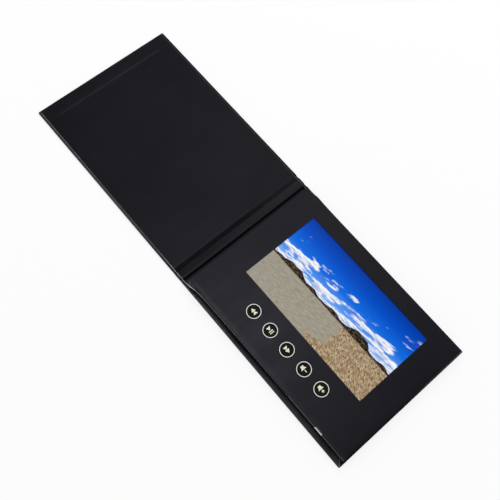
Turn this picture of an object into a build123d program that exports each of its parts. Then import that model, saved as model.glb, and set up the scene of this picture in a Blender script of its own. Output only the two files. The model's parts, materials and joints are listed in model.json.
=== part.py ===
from build123d import *
from math import sqrt
import os

# A hard-cover video brochure lying open and flat on its outer faces.
# X runs along the long axis, with the fold at x = 0, the front cover at -X and the
# back cover with its display block at +X. Y runs up the displayed picture, Z is up,
# and z = 0 is the surface that the open book lies on. All sizes are in millimetres.

os.makedirs("parts", exist_ok=True)

# ---------------------------------------------------------------- driving dimensions
# the display block, an A5 page on its side
page_length = 210.0
page_width = 148.0
page_shift = 0.4            # the block is glued slightly nearer the far edge

# the case: grey board, printed outer wrap, printed inner liner
board = 2.0
wrap = 0.2
liner = 0.2
turn_in = 15.0              # wrap folded over the boards' inner edges
liner_inset = 2.1           # the liner stops short of the cover's edges
lip_side = 4.9              # cover beyond the block, at each long side
lip_end = 2.3               # cover beyond the block, at the outer end
corner_radius = 0.8

# the two folds beside the spine
groove = 5.0                # gap between spine board and cover board
groove_slope = 1.0          # run of the sheets down the boards' edges
fold_height = 1.0           # the sheets meet here, and both fold lines lie here
fold_clearance = 0.1
hinge_margin = 3.15         # from the back board's inner edge to the block
closing_gap = 0.3           # between the block's face and the closed cover

# the magnet in the front cover, and the reed switch that it works
magnet_diameter = 6.0
magnet_thickness = 1.2
magnet_end_distance = 25.2  # from the cover's outer end
magnet_side_distance = 41.3 # from the cover's far edge
magnet_clearance = 0.1

# the block's card case
base = 0.6
side_card = 1.2
face_card_thickness = 0.8
packing_clearance = 0.2     # around what lies in the foam

# the seven-inch panel behind the window
window_length = 154.6
window_width = 86.2
window_shift = 14.7         # window's centre from the block's centre
panel_side_border = 5.2     # module beyond the window, left and right
panel_near_border = 7.0
panel_far_border = 6.1
panel_thickness = 3.4
panel_can = 0.3             # sheet metal of the panel's frame
panel_lip = 0.2
glass_thickness = 1.1
glass_overlap = 3.0
opening_margin = 1.0        # frame opening beyond the card window
panel_tape = 0.2

# the battery under the panel
battery_length = 80.0
battery_width = 50.0
battery_thickness = 3.0
battery_gap = 0.2
battery_rounding = 0.75

# the five keys below the panel
key_pitch = 22.9
key_row_shift = 1.9         # key row's centre from the block's centre
key_row_margin = 19.1       # key centres from the window's near edge
key_diameter = 15.2
key_clearance = 0.2
key_proud = 0.2
key_flange = 1.2            # the cap's hidden rim beyond the hole
key_flange_thickness = 0.6
key_rest_gap = 0.05
key_travel = 0.4
legend_depth = 0.1
ring_diameter = 14.1
ring_width = 0.7
icon_height = 4.6
icon_arrow = 3.4
icon_overlap = 0.3          # of an arrow's tip in the next arrow
icon_bar = 0.9
icon_box = 3.1              # the loudspeaker's back, across
icon_horn = 5.8             # its mouth, across
icon_sign = 2.6             # the minus and the plus

# the tact switches and their strip of circuit board
circuit_board = 0.8
switch_size = 6.0
switch_height = 1.6
plunger_diameter = 3.0
plunger_clearance = 0.15
plunger_depth = 0.6         # of the plunger inside its switch at rest
key_board_margin = 0.5      # board beyond the caps' flanges

# the main board with its charging and data socket
board_gap = 5.6             # between key board and main board
board_end_margin = 3.5
board_width = 28.0
board_clearance = 0.3
usb_board_distance = 9.5    # socket's centre from the board's start
usb_width = 7.6
usb_depth = 8.6
usb_wall = 0.3
usb_mouth_width = 8.9
usb_mouth_depth = 1.2
usb_mouth_rise = 0.7
usb_notch_depth = 1.8
usb_clearance = 0.1
processor_size = 9.0
processor_height = 1.0
memory_length = 11.0
memory_width = 6.5
memory_height = 0.9
chip_margin = 1.5
chip_chamfer = 0.4
small_part_length = 1.6
small_part_width = 0.8
small_part_height = 0.6
small_part_pitch = 3.2
small_part_margin = 4.5     # from the board's near edge
small_columns = 4
small_rows = 2

# ribbons, plugs and leads
ribbon = 0.2
panel_ribbon_width = 16.0
ribbon_socket_width = 4.0
ribbon_socket_height = 1.2
ribbon_socket_margin = 1.0  # from the board's far edge
key_ribbon_width = 4.5
ribbon_lap = 2.4
plug_length = 4.0
plug_width = 4.6
plug_height = 1.6
lead_diameter = 1.0
lead_spacing = 1.5
lead_bend = 1.2             # of the lead's diameter, at its middle line
channel_width = 4.0
lead_climb = 6.0            # run in which a lead rises to its plug
lead_level = 2.0            # level run before a lead turns into its plug

# the loudspeaker
speaker_diameter = 28.0
speaker_height = 4.6
speaker_rim = 1.0
speaker_basket = 18.0
speaker_magnet_diameter = 14.0
speaker_magnet_height = 2.2
speaker_end_distance = 26.5
cone_thickness = 0.4
cone_depth = 1.4

# the reed switch
reed_diameter = 2.2
reed_length = 12.0
reed_lead = 0.6

# --------------------------------------------------------------------- worked out
board_bottom = wrap
board_top = wrap + board
cover_top = board_top + wrap
liner_top = cover_top + liner
half_cover = page_width / 2 + lip_side

base_bottom = cover_top
base_top = base_bottom + base
lower_top = base_top + battery_thickness + battery_gap
upper_top = lower_top + panel_thickness + panel_tape
card_top = upper_top + face_card_thickness
face_top = card_top + liner

# closed, the spine stands on edge and spans the block between the two covers
fold_distance = face_top + closing_gap + liner_top - 2 * fold_height
fold_x = fold_distance / 2
spine_half = (fold_distance - groove) / 2
board_start = fold_x + groove / 2
fold_bead = max(wrap, liner)
fold_socket = sqrt(2) * fold_bead + fold_clearance
groove_foot = board_start - groove_slope
spine_foot = spine_half + groove_slope

block_start = board_start + hinge_margin
block_end = block_start + page_length
cover_end = block_end + lip_end
core_start = block_start + liner
block_middle = (block_end + block_start) / 2
near_edge = page_shift - page_width / 2
far_edge = page_shift + page_width / 2

inner_start = core_start + side_card
inner_end = block_end - side_card
inner_near = near_edge + side_card
inner_far = far_edge - side_card

window_y = page_shift + window_shift
window_near = window_y - window_width / 2
window_far = window_y + window_width / 2
panel_length = window_length + 2 * panel_side_border
panel_start = block_middle - panel_length / 2
panel_end = block_middle + panel_length / 2
panel_near = window_near - panel_near_border
panel_far = window_far + panel_far_border
panel_width = panel_far - panel_near
panel_y = (panel_far + panel_near) / 2
panel_top = lower_top + panel_thickness

key_x = block_middle + key_row_shift
key_y = window_near - key_row_margin
key_places = [(key_x + step * key_pitch, key_y) for step in (-2, -1, 0, 1, 2)]
circuit_top = lower_top + circuit_board
switch_top = circuit_top + switch_height
flange_top = upper_top - key_rest_gap
flange_bottom = flange_top - key_flange_thickness
key_top = face_top + key_proud
flange_diameter = key_diameter + 2 * key_clearance + 2 * key_flange
key_board_reach = flange_diameter / 2 + key_board_margin
key_board_start = key_x - 2 * key_pitch - key_board_reach
key_board_finish = key_x + 2 * key_pitch + key_board_reach

main_start = key_board_finish + board_gap
main_end = inner_end - board_end_margin
main_near = inner_near + board_clearance
main_far = main_near + board_width
usb_x = main_start + usb_board_distance
usb_top = upper_top - usb_clearance

magnet_x = cover_end - magnet_end_distance
magnet_y = half_cover - magnet_side_distance
speaker_x = block_start + speaker_end_distance
speaker_y = (inner_near + panel_near) / 2
speaker_top = upper_top - packing_clearance / 2
reed_x = (panel_end + inner_end) / 2
lead_z = lower_top - lead_diameter

battery_y = panel_y
battery_start = block_middle - battery_length / 2
battery_end = block_middle + battery_length / 2


def save(piece, name):
    """Label a finished piece and write it under its own name."""
    piece.part.label = name
    export_step(piece.part, f"parts/{name}.step")


def plate(x_low, x_high, y_low, y_high, z_low, z_high, mode=Mode.ADD):
    """A rectangular plate between the given limits, in the block being built."""
    with BuildSketch(Plane.XY.offset(z_low)) as outline:
        with Locations(((x_low + x_high) / 2, (y_low + y_high) / 2)):
            Rectangle(x_high - x_low, y_high - y_low)
    extrude(outline.sketch, amount=z_high - z_low, mode=mode)


def cover_outline(x_high, half_width, radius, height):
    """A cover's outline at a height, with its two outer corners rounded."""
    with BuildSketch(Plane.XY.offset(height)) as outline:
        with Locations(((board_start + x_high) / 2, 0)):
            Rectangle(x_high - board_start, 2 * half_width)
        fillet(outline.vertices().group_by(Axis.X)[-1], radius)
    return outline.sketch


def sheet(points, thickness, half_width):
    """A folded sheet whose lower side follows points in XZ, across both half widths."""
    raised = [(x, z + thickness) for x, z in reversed(points)]
    with BuildSketch(Plane.XZ) as profile:
        Polygon(*points, *raised, align=None)
    extrude(profile.sketch, amount=half_width, both=True)


def fold_line(x, radius, length, mode):
    """A round bar or channel along a fold."""
    with BuildSketch(Plane.XZ) as profile:
        with Locations((x, fold_height)):
            Circle(radius)
    extrude(profile.sketch, amount=length / 2, both=True, mode=mode)


# ------------------------------------------------------------------------ back cover
# Grey board, cut to the cover's size less the wrap's thickness.
with BuildPart() as back_cover_board:
    extrude(cover_outline(cover_end - wrap, half_cover - wrap, corner_radius - wrap, board_bottom),
            amount=board)
save(back_cover_board, "back_cover_board")

# Outer wrap: under the board, round its edges, turned in over it, and up to the fold.
with BuildPart() as back_cover_wrap:
    extrude(cover_outline(cover_end, half_cover, corner_radius, 0), amount=cover_top)
    add(back_cover_board.part, mode=Mode.SUBTRACT)
    plate(board_start, cover_end - turn_in, turn_in - half_cover, half_cover - turn_in,
          board_top, cover_top, mode=Mode.SUBTRACT)
    sheet([(fold_x, fold_height - wrap), (groove_foot, fold_height - wrap), (board_start, 0)],
          wrap, half_cover)
    fold_line(fold_x, fold_socket, 2 * half_cover, Mode.SUBTRACT)
save(back_cover_wrap, "back_cover_wrap")

# Glue sheet between the board and the block, inside the turn-ins.
with BuildPart() as block_adhesive:
    plate(board_start, cover_end - turn_in, turn_in - half_cover, half_cover - turn_in,
          board_top, cover_top)
save(block_adhesive, "block_adhesive")

# ----------------------------------------------------------------------- front cover
# Board with a blind pocket for the magnet, opening on its inner face.
with BuildPart() as front_cover_board:
    add(back_cover_board.part)
    mirror(about=Plane.YZ, mode=Mode.REPLACE)
    with BuildSketch(Plane.XY.offset(board_top)):
        with Locations((-magnet_x, magnet_y)):
            Circle(magnet_diameter / 2 + magnet_clearance)
    extrude(amount=-magnet_thickness - magnet_clearance, mode=Mode.SUBTRACT)
save(front_cover_board, "front_cover_board")

with BuildPart() as front_cover_wrap:
    add(back_cover_wrap.part)
    mirror(about=Plane.YZ, mode=Mode.REPLACE)
save(front_cover_wrap, "front_cover_wrap")

# Disc magnet, flush with the board under the liner.
with BuildPart() as cover_magnet:
    with BuildSketch(Plane.XY.offset(board_top)):
        with Locations((-magnet_x, magnet_y)):
            Circle(magnet_diameter / 2)
    extrude(amount=-magnet_thickness)
save(cover_magnet, "cover_magnet")

# Liner: lies on the board in the middle and steps up over the turn-ins round it.
middle_half = half_cover - turn_in
liner_half = half_cover - liner_inset
with BuildPart() as front_cover_liner:
    sheet([(-fold_x, fold_height), (-groove_foot, fold_height), (-board_start, cover_top),
           (liner_inset - cover_end, cover_top)], liner, liner_half)
    plate(turn_in + liner - cover_end, -fold_x, liner - middle_half, middle_half - liner,
          fold_height, liner_top, mode=Mode.SUBTRACT)
    sheet([(-fold_x, fold_height), (-groove_foot, fold_height), (-board_start, board_top),
           (turn_in - cover_end, board_top)], liner, middle_half)
    fold_line(-fold_x, fold_socket, 2 * half_cover, Mode.SUBTRACT)
save(front_cover_liner, "front_cover_liner")

# ----------------------------------------------------------------------------- spine
with BuildPart() as spine_board:
    plate(-spine_half, spine_half, wrap - half_cover, half_cover - wrap, board_bottom, board_top)
save(spine_board, "spine_board")

# Wrap round the spine board, with a bead along each fold that the covers turn about.
with BuildPart() as spine_wrap:
    plate(-spine_half, spine_half, -half_cover, half_cover, 0, cover_top)
    plate(-spine_half, spine_half, wrap - half_cover, half_cover - wrap,
          board_bottom, board_top, mode=Mode.SUBTRACT)
    plate(-spine_half, spine_half, -middle_half, middle_half, board_top, cover_top,
          mode=Mode.SUBTRACT)
    for side in (-1, 1):
        sheet([(side * spine_half, 0), (side * spine_foot, fold_height - wrap),
               (side * fold_x, fold_height - wrap)], wrap, half_cover)
        fold_line(side * fold_x, fold_bead, 2 * half_cover, Mode.ADD)
save(spine_wrap, "spine_wrap")

with BuildPart() as spine_liner:
    sheet([(-fold_x, fold_height), (-spine_foot, fold_height), (-spine_half, cover_top),
           (spine_half, cover_top), (spine_foot, fold_height), (fold_x, fold_height)],
          liner, liner_half)
    plate(-fold_x, fold_x, liner - middle_half, middle_half - liner, fold_height, liner_top,
          mode=Mode.SUBTRACT)
    sheet([(-fold_x, fold_height), (-spine_foot, fold_height), (-spine_half, board_top),
           (spine_half, board_top), (spine_foot, fold_height), (fold_x, fold_height)],
          liner, middle_half)
    for side in (-1, 1):
        fold_line(side * fold_x, fold_bead, 2 * half_cover, Mode.SUBTRACT)
save(spine_liner, "spine_liner")

# --------------------------------------------------------------- the block's card case
with BuildPart() as block_base:
    plate(core_start, block_end, near_edge, far_edge, base_bottom, base_top)
save(block_base, "block_base")

# Four walls, with a slot through the near one for the socket.
with BuildPart() as block_wall:
    plate(core_start, block_end, near_edge, far_edge, base_top, upper_top)
    plate(inner_start, inner_end, inner_near, inner_far, base_top, upper_top,
          mode=Mode.SUBTRACT)
    plate(usb_x - usb_mouth_width / 2 - usb_clearance, usb_x + usb_mouth_width / 2 + usb_clearance,
          near_edge, inner_near, circuit_top, upper_top, mode=Mode.SUBTRACT)
save(block_wall, "block_wall")


def face_openings(z_low, z_high):
    """Cut the picture window, the key holes and the socket's notch."""
    with BuildSketch(Plane.XY.offset(z_low)) as openings:
        with Locations((block_middle, window_y)):
            Rectangle(window_length, window_width)
        with Locations(*key_places):
            Circle(key_diameter / 2 + key_clearance)
        with Locations((usb_x, near_edge)):
            Rectangle(usb_mouth_width + 2 * usb_clearance, 2 * usb_notch_depth)
    extrude(openings.sketch, amount=z_high - z_low, mode=Mode.SUBTRACT)


with BuildPart() as face_card:
    plate(core_start, block_end, near_edge, far_edge, upper_top, card_top)
    face_openings(upper_top, card_top)
save(face_card, "face_card")

# Printed sheet: from the fold over the cover board, up the block's side and over its face.
with BuildPart() as face_sheet:
    sheet([(fold_x, fold_height), (groove_foot, fold_height), (board_start, cover_top),
           (block_start, cover_top)], liner, liner_half)
    fold_line(fold_x, fold_socket, 2 * half_cover, Mode.SUBTRACT)
    plate(block_start, core_start, near_edge, far_edge, cover_top, card_top)
    plate(block_start, block_end, near_edge, far_edge, card_top, face_top)
    face_openings(card_top, face_top)
save(face_sheet, "face_sheet")

# ------------------------------------------------------------------ foam in two layers
pocket = packing_clearance
lead_x = (key_board_finish + main_start) / 2
battery_lead_y = battery_y - battery_width / 4
speaker_lead_y = speaker_y - speaker_basket / 2 - lead_diameter / 2 - lead_spacing
speaker_plug_y = main_near + plug_width
battery_plug_y = speaker_plug_y + 2 * plug_width
ribbon_low = usb_x - panel_ribbon_width / 2
ribbon_high = usb_x + panel_ribbon_width / 2

with BuildPart() as lower_foam:
    plate(inner_start + pocket, inner_end - pocket, inner_near + pocket, inner_far - pocket,
          base_top, lower_top)
    plate(battery_start - pocket, battery_end + pocket, battery_y - battery_width / 2 - pocket,
          battery_y + battery_width / 2 + pocket, base_top, lower_top, mode=Mode.SUBTRACT)
    with BuildSketch(Plane.XY.offset(base_top)):
        with Locations((speaker_x, speaker_y)):
            Circle(speaker_diameter / 2 + pocket)
    extrude(amount=lower_top - base_top, mode=Mode.SUBTRACT)
    for x_low, x_high, y_low, y_high in [
        (battery_end, lead_x + channel_width / 2,
         battery_lead_y - channel_width / 2, battery_lead_y + channel_width / 2),
        (lead_x - channel_width / 2, lead_x + channel_width / 2,
         speaker_plug_y - channel_width / 2, battery_lead_y + channel_width / 2),
        (speaker_x - channel_width / 2, lead_x + channel_width / 2,
         min(speaker_lead_y, speaker_plug_y) - channel_width / 2,
         max(speaker_lead_y, speaker_plug_y) + channel_width / 2),
    ]:
        plate(x_low, x_high, y_low, y_high, base_top, lower_top, mode=Mode.SUBTRACT)
save(lower_foam, "lower_foam")

with BuildPart() as upper_foam:
    plate(inner_start + pocket, inner_end - pocket, inner_near + pocket, inner_far - pocket,
          lower_top, upper_top)
    for x_low, x_high, y_low, y_high in [
        (panel_start - pocket, panel_end + pocket, panel_near - pocket, panel_far + pocket),
        (key_board_start - pocket, main_start, key_y - key_board_reach - pocket,
         key_y + key_board_reach + pocket),
        (key_board_finish, main_end + pocket, inner_near, main_far + pocket),
        (lead_x - lead_level - lead_climb - channel_width, main_start,
         min(speaker_lead_y, speaker_plug_y) - channel_width / 2,
         max(speaker_lead_y, speaker_plug_y) + channel_width / 2),
        (key_board_finish, main_start, inner_near, key_y + key_board_reach + pocket),
        (ribbon_low - pocket, ribbon_high + pocket, main_far, panel_near),
        (reed_x - channel_width / 2, reed_x + channel_width, main_far - ribbon_lap,
         magnet_y + reed_length / 2 + channel_width),
    ]:
        plate(x_low, x_high, y_low, y_high, lower_top, upper_top, mode=Mode.SUBTRACT)
    with BuildSketch(Plane.XY.offset(lower_top)):
        with Locations((speaker_x, speaker_y)):
            Circle(speaker_diameter / 2 + pocket)
    extrude(amount=upper_top - lower_top, mode=Mode.SUBTRACT)
save(upper_foam, "upper_foam")

# --------------------------------------------------------------------- display panel
opening_length = window_length + 2 * opening_margin
opening_width = window_width + 2 * opening_margin
glass_top = panel_top - panel_lip
glass_bottom = glass_top - glass_thickness

# Folded metal frame: four sides and a narrow lip round the picture.
with BuildPart() as panel_frame:
    plate(panel_start, panel_end, panel_near, panel_far, lower_top, panel_top)
    plate(panel_start + panel_can, panel_end - panel_can, panel_near + panel_can,
          panel_far - panel_can, lower_top, glass_top, mode=Mode.SUBTRACT)
    with BuildSketch(Plane.XY.offset(glass_top)):
        with Locations((block_middle, window_y)):
            Rectangle(opening_length, opening_width)
    extrude(amount=panel_lip, mode=Mode.SUBTRACT)
save(panel_frame, "panel_frame")

# Light box: a moulded tray with its light guide, filling the frame behind the glass.
with BuildPart() as panel_backlight:
    plate(panel_start + panel_can, panel_end - panel_can, panel_near + panel_can,
          panel_far - panel_can, lower_top, glass_bottom)
save(panel_backlight, "panel_backlight")

with BuildPart() as panel_glass:
    with BuildSketch(Plane.XY.offset(glass_bottom)):
        with Locations((block_middle, window_y)):
            Rectangle(window_length + 2 * glass_overlap, window_width + 2 * glass_overlap)
    extrude(amount=glass_thickness)
save(panel_glass, "panel_glass")

with BuildPart() as panel_tape_ring:
    with BuildSketch(Plane.XY.offset(panel_top)):
        with Locations((block_middle, panel_y)):
            Rectangle(panel_length, panel_width)
        with Locations((block_middle, window_y)):
            Rectangle(opening_length, opening_width, mode=Mode.SUBTRACT)
    extrude(amount=panel_tape)
save(panel_tape_ring, "panel_tape")

# --------------------------------------------------------------------- circuit boards
with BuildPart() as main_board:
    plate(main_start, main_end, main_near, main_far, lower_top, circuit_top)
save(main_board, "main_board")

processor_x = usb_x + processor_size / 2
processor_y = (main_near + main_far) / 2
with BuildPart() as processor:
    with BuildSketch(Plane.XY.offset(circuit_top)):
        with Locations((processor_x, processor_y)):
            Rectangle(processor_size, processor_size)
    extrude(amount=processor_height)
    chamfer(processor.edges().filter_by(Axis.Z), chip_chamfer)
save(processor, "processor")

memory_x = processor_x + processor_size / 2 + chip_margin + memory_width / 2
with BuildPart() as memory_chip:
    with BuildSketch(Plane.XY.offset(circuit_top)):
        with Locations((memory_x, processor_y)):
            Rectangle(memory_width, memory_length)
    extrude(amount=memory_height)
save(memory_chip, "memory_chip")

small_parts_x = usb_x + (usb_mouth_width + small_columns * small_part_pitch + chip_margin) / 2
with BuildPart() as small_components:
    with BuildSketch(Plane.XY.offset(circuit_top)):
        with Locations((small_parts_x, main_near + small_part_margin)):
            with GridLocations(small_part_pitch, small_part_pitch, small_columns, small_rows):
                Rectangle(small_part_length, small_part_width)
    extrude(amount=small_part_height)
save(small_components, "small_components")

# Ribbon sockets and lead plugs stand on the main board's top face.
ribbon_socket_far = main_far - ribbon_socket_margin
ribbon_socket_near = ribbon_socket_far - ribbon_socket_width
ribbon_bottom = circuit_top + ribbon_socket_height / 2
with BuildPart() as ribbon_socket:
    plate(ribbon_low - ribbon, ribbon_high + ribbon, ribbon_socket_near, ribbon_socket_far,
          circuit_top, circuit_top + ribbon_socket_height)
    plate(ribbon_low, ribbon_high, ribbon_socket_far - ribbon_lap, ribbon_socket_far,
          ribbon_bottom, ribbon_bottom + ribbon, mode=Mode.SUBTRACT)
save(ribbon_socket, "ribbon_socket")

with BuildPart() as panel_ribbon:
    plate(ribbon_low, ribbon_high, ribbon_socket_far - ribbon_lap, panel_near,
          ribbon_bottom, ribbon_bottom + ribbon)
save(panel_ribbon, "panel_ribbon")

with BuildPart() as key_board:
    plate(key_board_start, key_board_finish, key_y - key_board_reach, key_y + key_board_reach,
          lower_top, circuit_top)
save(key_board, "key_board")

# The key board's ribbon runs straight across the gap between the boards, or steps in it
# where the key board lies too far up for that.
main_ribbon_far = ribbon_socket_near - board_clearance
key_ribbon_far = max(main_ribbon_far,
                     key_y - key_board_reach + board_clearance + key_ribbon_width)
ribbon_step_start = key_board_finish + board_clearance
ribbon_step_end = main_start - board_clearance
with BuildPart() as key_ribbon:
    for x_low, x_high, y_low, y_high in [
        (key_board_finish - ribbon_lap, ribbon_step_end,
         key_ribbon_far - key_ribbon_width, key_ribbon_far),
        (ribbon_step_start, ribbon_step_end, main_ribbon_far - key_ribbon_width, key_ribbon_far),
        (ribbon_step_start, main_start + ribbon_lap,
         main_ribbon_far - key_ribbon_width, main_ribbon_far),
    ]:
        plate(x_low, x_high, y_low, y_high, circuit_top, circuit_top + ribbon)
save(key_ribbon, "key_ribbon")

with BuildPart() as tact_switches:
    with BuildSketch(Plane.XY.offset(circuit_top)):
        with Locations(*key_places):
            Rectangle(switch_size, switch_size)
    extrude(amount=switch_height)
    with BuildSketch(Plane.XY.offset(switch_top)):
        with Locations(*key_places):
            Circle(plunger_diameter / 2 + plunger_clearance)
    extrude(amount=-plunger_depth - key_travel - plunger_clearance, mode=Mode.SUBTRACT)
save(tact_switches, "tact_switches")

# -------------------------------------------------------------------- USB data socket
# Folded steel shell, flared at its mouth, which shows in the face's notch.
with BuildPart() as usb_shell:
    plate(usb_x - usb_width / 2, usb_x + usb_width / 2, near_edge, near_edge + usb_depth,
          circuit_top, usb_top)
    plate(usb_x - usb_mouth_width / 2, usb_x + usb_mouth_width / 2, near_edge,
          near_edge + usb_mouth_depth, circuit_top, usb_top + usb_mouth_rise)
    plate(usb_x - usb_width / 2 + usb_wall, usb_x + usb_width / 2 - usb_wall, near_edge,
          near_edge + usb_depth - usb_wall, circuit_top + usb_wall, usb_top - usb_wall,
          mode=Mode.SUBTRACT)
save(usb_shell, "usb_shell")

with BuildPart() as usb_tongue:
    plate(usb_x - usb_width / 4, usb_x + usb_width / 4, near_edge + usb_mouth_depth,
          near_edge + usb_depth - usb_wall, (circuit_top + usb_top) / 2 - usb_wall,
          (circuit_top + usb_top) / 2 + usb_wall)
save(usb_tongue, "usb_tongue")

# ----------------------------------------------------------------- battery and leads
with BuildPart() as battery:
    plate(battery_start, battery_end, battery_y - battery_width / 2,
          battery_y + battery_width / 2, base_top, base_top + battery_thickness)
    fillet(battery.edges().filter_by(Axis.Y), battery_rounding)
save(battery, "battery")

plug_start = main_start + board_clearance
plug_z = circuit_top + plug_height / 2
with BuildPart() as lead_plugs:
    for plug_y in (battery_plug_y, speaker_plug_y):
        plate(plug_start, plug_start + plug_length, plug_y - plug_width / 2,
              plug_y + plug_width / 2, circuit_top, circuit_top + plug_height)
save(lead_plugs, "lead_plugs")


def lead(points, diameter):
    """A round lead along points, with rounded turns."""
    with BuildLine() as path:
        FilletPolyline(*points, radius=lead_bend * diameter)
    with BuildSketch(Plane(origin=path.line @ 0, z_dir=path.line % 0)) as section:
        Circle(diameter / 2)
    sweep(section.sketch, path=path.line)


with BuildPart() as battery_leads:
    for side in (-lead_spacing / 2, lead_spacing / 2):
        lead([(battery_end, battery_lead_y + side, lead_z),
              (lead_x + side, battery_lead_y + side, lead_z),
              (lead_x + side, key_ribbon_far + lead_level + lead_climb, lead_z),
              (lead_x + side, key_ribbon_far + lead_level, plug_z),
              (lead_x + side, battery_plug_y + side, plug_z),
              (plug_start, battery_plug_y + side, plug_z)], lead_diameter)
save(battery_leads, "battery_leads")

speaker_bottom = speaker_top - speaker_height
basket_bottom = speaker_bottom + speaker_magnet_height
basket_near = speaker_y - speaker_basket / 2 - lead_diameter / 2
with BuildPart() as speaker_leads:
    for side in (-lead_spacing / 2, lead_spacing / 2):
        lead([(speaker_x + side, basket_near, basket_bottom + lead_diameter / 2),
              (speaker_x + side, speaker_lead_y + side, lead_z),
              (lead_x - lead_level - lead_climb, speaker_lead_y + side, lead_z),
              (lead_x - lead_level, speaker_plug_y + side, plug_z),
              (plug_start, speaker_plug_y + side, plug_z)], lead_diameter)
save(speaker_leads, "speaker_leads")

# ----------------------------------------------------------------------- loudspeaker
with BuildPart() as speaker_frame:
    with BuildSketch(Plane.XY.offset(speaker_top - speaker_rim)):
        with Locations((speaker_x, speaker_y)):
            Circle(speaker_diameter / 2)
    extrude(amount=speaker_rim)
    with BuildSketch(Plane.XY.offset(basket_bottom)):
        with Locations((speaker_x, speaker_y)):
            Circle(speaker_basket / 2)
    extrude(amount=speaker_top - speaker_rim - basket_bottom)
    with BuildSketch(Plane.XY.offset(speaker_top)):
        with Locations((speaker_x, speaker_y)):
            Circle(speaker_basket / 2 - speaker_rim)
    extrude(amount=-speaker_height + speaker_magnet_height + speaker_rim / 2, mode=Mode.SUBTRACT)
save(speaker_frame, "speaker_frame")

with BuildPart() as speaker_magnet:
    with BuildSketch(Plane.XY.offset(basket_bottom)):
        with Locations((speaker_x, speaker_y)):
            Circle(speaker_magnet_diameter / 2)
    extrude(amount=-speaker_magnet_height)
save(speaker_magnet, "speaker_magnet")

cone_radius = speaker_basket / 2 - speaker_rim
with BuildPart() as speaker_cone:
    with BuildSketch(Plane.XZ.offset(-speaker_y)):
        with BuildLine():
            Polyline((speaker_x, speaker_top - cone_depth),
                     (speaker_x + cone_radius / 3, speaker_top - cone_depth),
                     (speaker_x + cone_radius, speaker_top - cone_thickness),
                     (speaker_x + cone_radius, speaker_top),
                     (speaker_x + cone_radius / 3, speaker_top - cone_depth + cone_thickness),
                     (speaker_x, speaker_top - cone_depth + cone_thickness), close=True)
        make_face()
    revolve(axis=Axis((speaker_x, speaker_y, 0), (0, 0, 1)))
save(speaker_cone, "speaker_cone")

# ----------------------------------------------------------------------- reed switch
reed_z = lower_top + reed_diameter / 2
with BuildPart() as reed_switch:
    with BuildSketch(Plane.XZ.offset(-magnet_y + reed_length / 2)):
        with Locations((reed_x, reed_z)):
            Circle(reed_diameter / 2)
    extrude(amount=-reed_length)
save(reed_switch, "reed_switch")

# One lead runs straight to the main board, the other turns back beside the glass.
reed_near = magnet_y - reed_length / 2
reed_far = magnet_y + reed_length / 2
reed_return = reed_x + reed_diameter
with BuildPart() as reed_leads:
    with BuildSketch(Plane.XZ.offset(-reed_near)):
        with Locations((reed_x, reed_z)):
            Circle(reed_lead / 2)
    extrude(amount=reed_near - main_far + ribbon_lap)
    lead([(reed_x, reed_far, reed_z), (reed_x, reed_far + reed_diameter, reed_z),
          (reed_return, reed_far + reed_diameter, reed_z),
          (reed_return, main_far - ribbon_lap, reed_z)], reed_lead)
save(reed_leads, "reed_leads")

# ------------------------------------------------------------------------------ keys
def arrow(x, way):
    """A triangle pointing along X, way 1 to the right or -1 to the left."""
    Polygon((x, icon_height / 2), (x + way * icon_arrow, 0), (x, -icon_height / 2), align=None)


def bar(x, y, length, width):
    with Locations((x, y)):
        Rectangle(length, width)


def draw_rewind():
    arrow(0, -1)
    arrow(icon_arrow - icon_overlap, -1)


def draw_play():
    arrow(-icon_arrow, 1)
    for place in (icon_bar, 3 * icon_bar):
        bar(place, 0, icon_bar, icon_height)


def draw_forward():
    arrow(icon_overlap - icon_arrow, 1)
    arrow(0, 1)


def draw_loudspeaker():
    bar(-3 * icon_bar, 0, 2 * icon_bar, icon_box)
    Polygon((-3 * icon_bar, icon_bar), (0, icon_horn / 2),
            (0, -icon_horn / 2), (-3 * icon_bar, -icon_bar), align=None)


def draw_quieter():
    draw_loudspeaker()
    bar(icon_bar + icon_sign / 2, 0, icon_sign, icon_bar)


def draw_louder():
    draw_quieter()
    bar(icon_bar + icon_sign / 2, 0, icon_bar, icon_sign)


icons = {"rewind": draw_rewind, "play": draw_play, "forward": draw_forward,
         "quieter": draw_quieter, "louder": draw_louder}
for (name, draw), (x, y) in zip(icons.items(), key_places):
    # Printed ring and symbol, let into the cap's top.
    with BuildPart() as legend:
        with BuildSketch(Plane((x, y, key_top - legend_depth))):
            Circle(ring_diameter / 2)
            Circle(ring_diameter / 2 - ring_width, mode=Mode.SUBTRACT)
            draw()
        extrude(amount=legend_depth)
    save(legend, f"{name}_legend")

    # Round cap, held under the face card by its flange.
    with BuildPart() as cap:
        with BuildSketch(Plane((x, y, flange_top))):
            Circle(key_diameter / 2)
        extrude(amount=key_top - flange_top)
        fillet(cap.faces().sort_by(Axis.Z)[-1].edges(), legend_depth)
        with BuildSketch(Plane((x, y, flange_bottom))):
            Circle(flange_diameter / 2)
        extrude(amount=key_flange_thickness)
        add(legend.part, mode=Mode.SUBTRACT)
    save(cap, f"{name}_key")

    # Switch plunger, which the cap presses into its switch.
    with BuildPart() as plunger:
        with BuildSketch(Plane((x, y, switch_top - plunger_depth))):
            Circle(plunger_diameter / 2)
        extrude(amount=flange_bottom - switch_top + plunger_depth)
    save(plunger, f"{name}_plunger")
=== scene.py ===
import json
import math

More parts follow.
